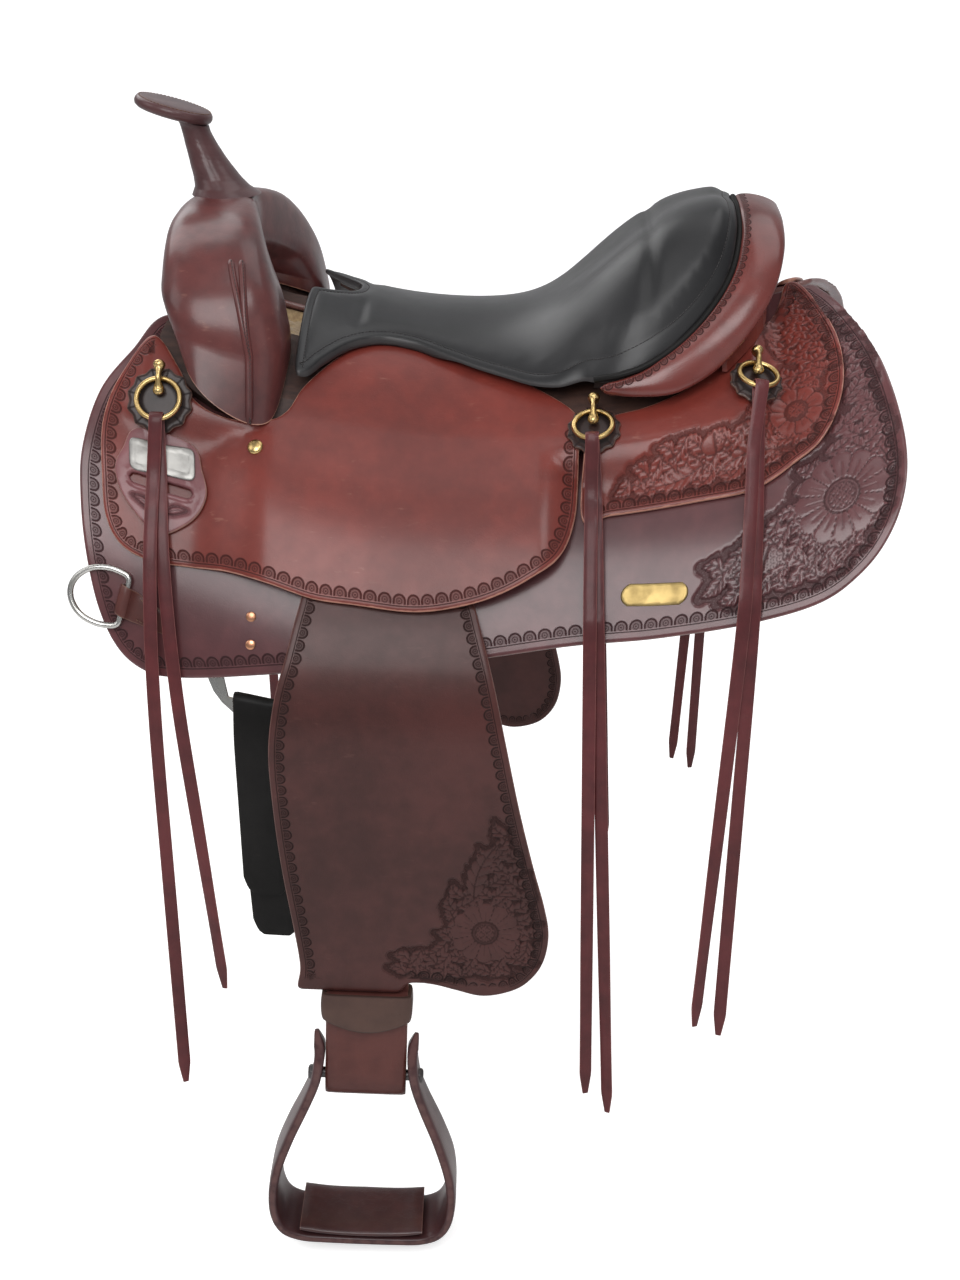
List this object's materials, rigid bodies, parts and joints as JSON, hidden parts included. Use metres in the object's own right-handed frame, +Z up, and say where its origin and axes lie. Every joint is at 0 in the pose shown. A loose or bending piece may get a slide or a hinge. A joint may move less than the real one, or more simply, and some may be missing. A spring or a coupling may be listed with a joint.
{
  "type": "western trail saddle",
  "caption": "Western riding saddle of layered leather on a rigid tree, with hanging fenders, turning stirrups, lifting rings with long tie strings, and fleece lining.",
  "frame": {"origin": "on the line of the horse's spine between the two fleece linings, midway along the saddle, where the horse's back holds it up", "axes": "+X towards the cantle, -X towards the horse's head, -Y the near (left) side, +Z up"},
  "size_m": [0.6826, 0.6222, 0.9733],
  "materials": {
    "black_seat_leather": "glossy smooth leather",
    "bright_brass": "polished",
    "chestnut_leather": "semi-gloss oiled leather",
    "dark_trim_leather": "satin dark leather",
    "oxblood_lace": "satin latigo lace",
    "plum_leather": "satin oiled leather",
    "rawhide_tree": "rawhide over wood",
    "skirting_leather": "raw flesh side",
    "stainless_steel": "polished",
    "tan_fleece": "matte wool pile"
  },
  "bodies": {
    "saddle": {"fleece_near": "tan_fleece", "fleece_off": "tan_fleece", "skirt_near": "plum_leather", "skirt_off": "plum_leather", "seat_jockey_near": "chestnut_leather", "seat_jockey_off": "chestnut_leather", "rear_jockey_near": "chestnut_leather", "rear_jockey_off": "chestnut_leather", "rosette_front_near": "dark_trim_leather", "rosette_front_off": "dark_trim_leather", "rosette_mid_near": "dark_trim_leather", "rosette_mid_off": "dark_trim_leather", "rosette_rear_near": "dark_trim_leather", "rosette_rear_off": "dark_trim_leather", "ring_clip_front_near": "bright_brass", "ring_clip_front_off": "bright_brass", "ring_clip_mid_near": "bright_brass", "ring_clip_mid_off": "bright_brass", "ring_clip_rear_near": "bright_brass", "ring_clip_rear_off": "bright_brass", "latigo_keeper_near": "dark_trim_leather", "latigo_keeper_off": "dark_trim_leather", "rigging_plate_near": "stainless_steel", "rigging_plate_off": "stainless_steel", "seat_pad": "black_seat_leather", "ground_seat": "skirting_leather", "saddle_tree": "rawhide_tree", "fork_cover": "chestnut_leather", "horn_cap": "dark_trim_leather", "horn_wrap": "dark_trim_leather", "cantle_roll": "chestnut_leather", "cantle_back": "chestnut_leather"},
    "fender_top_near": {"fender_top_near": "chestnut_leather"},
    "fender_near": {"fender_near": "chestnut_leather", "stirrup_leather_near": "dark_trim_leather", "hobble_strap_near": "dark_trim_leather"},
    "stirrup_near": {"stirrup_frame_near": "dark_trim_leather", "stirrup_tread_near": "dark_trim_leather"},
    "breast_dee_near": {"breast_dee_near": "stainless_steel"},
    "ring_front_near": {"ring_front_near": "bright_brass"},
    "strings_front_near": {"strings_front_near": "oxblood_lace"},
    "ring_mid_near": {"ring_mid_near": "bright_brass"},
    "strings_mid_near": {"strings_mid_near": "oxblood_lace"},
    "ring_rear_near": {"ring_rear_near": "bright_brass"},
    "strings_rear_near": {"strings_rear_near": "oxblood_lace"},
    "fender_top_off": {"fender_top_off": "chestnut_leather"},
    "fender_off": {"fender_off": "chestnut_leather", "stirrup_leather_off": "dark_trim_leather", "hobble_strap_off": "dark_trim_leather"},
    "stirrup_off": {"stirrup_frame_off": "dark_trim_leather", "stirrup_tread_off": "dark_trim_leather"},
    "breast_dee_off": {"breast_dee_off": "stainless_steel"},
    "ring_front_off": {"ring_front_off": "bright_brass"},
    "strings_front_off": {"strings_front_off": "oxblood_lace"},
    "ring_mid_off": {"ring_mid_off": "bright_brass"},
    "strings_mid_off": {"strings_mid_off": "oxblood_lace"},
    "ring_rear_off": {"ring_rear_off": "bright_brass"},
    "strings_rear_off": {"strings_rear_off": "oxblood_lace"},
    "latigo_strap": {"latigo_strap": "dark_trim_leather"},
    "off_billet": {"off_billet": "dark_trim_leather"}
  },
  "joints": [
    {"name": "fender_swing_near", "type": "hinge", "parent": "saddle", "child": "fender_top_near", "pos_m": [-0.08, -0.16868, 0.00058], "axis": [0.068, -0.8004, 0.5956], "range_deg": [-10, 5]},
    {"name": "fender_lift_near", "type": "hinge", "parent": "fender_top_near", "child": "fender_near", "pos_m": [-0.07983, -0.25809, -0.11533], "axis": [-0.9977, -0.0546, 0.0406], "range_deg": [0, 80]},
    {"name": "stirrup_turn_near", "type": "hinge", "parent": "fender_near", "child": "stirrup_near", "pos_m": [-0.08203, -0.27604, -0.53586], "axis": [-0.9977, -0.0546, 0.0406], "range_deg": [-60, 60]},
    {"name": "breast_dee_lift_near", "type": "hinge", "parent": "saddle", "child": "breast_dee_near", "pos_m": [-0.27597, -0.23875, -0.10793], "axis": [0.2419, 0.291, 0.9256], "range_deg": [0, 100]},
    {"name": "ring_lift_front_near", "type": "hinge", "parent": "saddle", "child": "ring_front_near", "pos_m": [-0.2516, -0.16631, 0.06119], "axis": [-0.9984, -0.0513, 0.0224], "range_deg": [0, 60]},
    {"name": "string_hang_front_near", "type": "hinge", "parent": "ring_front_near", "child": "strings_front_near", "pos_m": [-0.25112, -0.188, 0.03296], "axis": [-0.9984, -0.0513, 0.0224], "range_deg": [-60, 0]},
    {"name": "ring_lift_mid_near", "type": "hinge", "parent": "saddle", "child": "ring_mid_near", "pos_m": [0.10538, -0.15084, 0.03533], "axis": [-0.9962, 0.0595, -0.0633], "range_deg": [0, 60]},
    {"name": "string_hang_mid_near", "type": "hinge", "parent": "ring_mid_near", "child": "strings_mid_near", "pos_m": [0.10472, -0.17839, 0.01987], "axis": [-0.9962, 0.0595, -0.0633], "range_deg": [-60, 0]},
    {"name": "ring_lift_rear_near", "type": "hinge", "parent": "saddle", "child": "ring_rear_near", "pos_m": [0.23813, -0.13308, 0.07316], "axis": [-0.9874, -0.0924, 0.1288], "range_deg": [0, 60]},
    {"name": "string_hang_rear_near", "type": "hinge", "parent": "ring_rear_near", "child": "strings_rear_near", "pos_m": [0.23934, -0.1624, 0.06143], "axis": [-0.9874, -0.0924, 0.1288], "range_deg": [-60, 0]},
    {"name": "fender_swing_off", "type": "hinge", "parent": "saddle", "child": "fender_top_off", "pos_m": [-0.08, 0.16868, 0.00058], "axis": [-0.068, -0.8004, -0.5956], "range_deg": [-10, 5]},
    {"name": "fender_lift_off", "type": "hinge", "parent": "fender_top_off", "child": "fender_off", "pos_m": [-0.07983, 0.25809, -0.11533], "axis": [0.9977, -0.0546, -0.0406], "range_deg": [0, 80]},
    {"name": "stirrup_turn_off", "type": "hinge", "parent": "fender_off", "child": "stirrup_off", "pos_m": [-0.08203, 0.27604, -0.53586], "axis": [0.9977, -0.0546, -0.0406], "range_deg": [-60, 60]},
    {"name": "breast_dee_lift_off", "type": "hinge", "parent": "saddle", "child": "breast_dee_off", "pos_m": [-0.27597, 0.23875, -0.10793], "axis": [-0.2419, 0.291, -0.9256], "range_deg": [0, 100]},
    {"name": "ring_lift_front_off", "type": "hinge", "parent": "saddle", "child": "ring_front_off", "pos_m": [-0.2516, 0.16631, 0.06119], "axis": [0.9984, -0.0513, -0.0224], "range_deg": [0, 60]},
    {"name": "string_hang_front_off", "type": "hinge", "parent": "ring_front_off", "child": "strings_front_off", "pos_m": [-0.25112, 0.188, 0.03296], "axis": [0.9984, -0.0513, -0.0224], "range_deg": [-60, 0]},
    {"name": "ring_lift_mid_off", "type": "hinge", "parent": "saddle", "child": "ring_mid_off", "pos_m": [0.10538, 0.15084, 0.03533], "axis": [0.9962, 0.0595, 0.0633], "range_deg": [0, 60]},
    {"name": "string_hang_mid_off", "type": "hinge", "parent": "ring_mid_off", "child": "strings_mid_off", "pos_m": [0.10472, 0.17839, 0.01987], "axis": [0.9962, 0.0595, 0.0633], "range_deg": [-60, 0]},
    {"name": "ring_lift_rear_off", "type": "hinge", "parent": "saddle", "child": "ring_rear_off", "pos_m": [0.23813, 0.13308, 0.07316], "axis": [0.9874, -0.0924, -0.1288], "range_deg": [0, 60]},
    {"name": "string_hang_rear_off", "type": "hinge", "parent": "ring_rear_off", "child": "strings_rear_off", "pos_m": [0.23934, 0.1624, 0.06143], "axis": [0.9874, -0.0924, -0.1288], "range_deg": [-60, 0]},
    {"name": "latigo_swing", "type": "hinge", "parent": "saddle", "child": "latigo_strap", "pos_m": [-0.166, -0.25718, -0.19854], "axis": [-0.9808, 0.1248, 0.1501], "range_deg": [-4, 4]},
    {"name": "off_billet_swing", "type": "hinge", "parent": "saddle", "child": "off_billet", "pos_m": [-0.166, 0.25718, -0.19854], "axis": [0.9808, 0.1248, -0.1501], "range_deg": [-4, 4]}
  ],
  "couplings": [
    {"joint": "string_hang_front_near", "follows": "ring_lift_front_near", "ratio": -1},
    {"joint": "string_hang_mid_near", "follows": "ring_lift_mid_near", "ratio": -1},
    {"joint": "string_hang_rear_near", "follows": "ring_lift_rear_near", "ratio": -1},
    {"joint": "string_hang_front_off", "follows": "ring_lift_front_off", "ratio": -1},
    {"joint": "string_hang_mid_off", "follows": "ring_lift_mid_off", "ratio": -1},
    {"joint": "string_hang_rear_off", "follows": "ring_lift_rear_off", "ratio": -1}
  ]
}
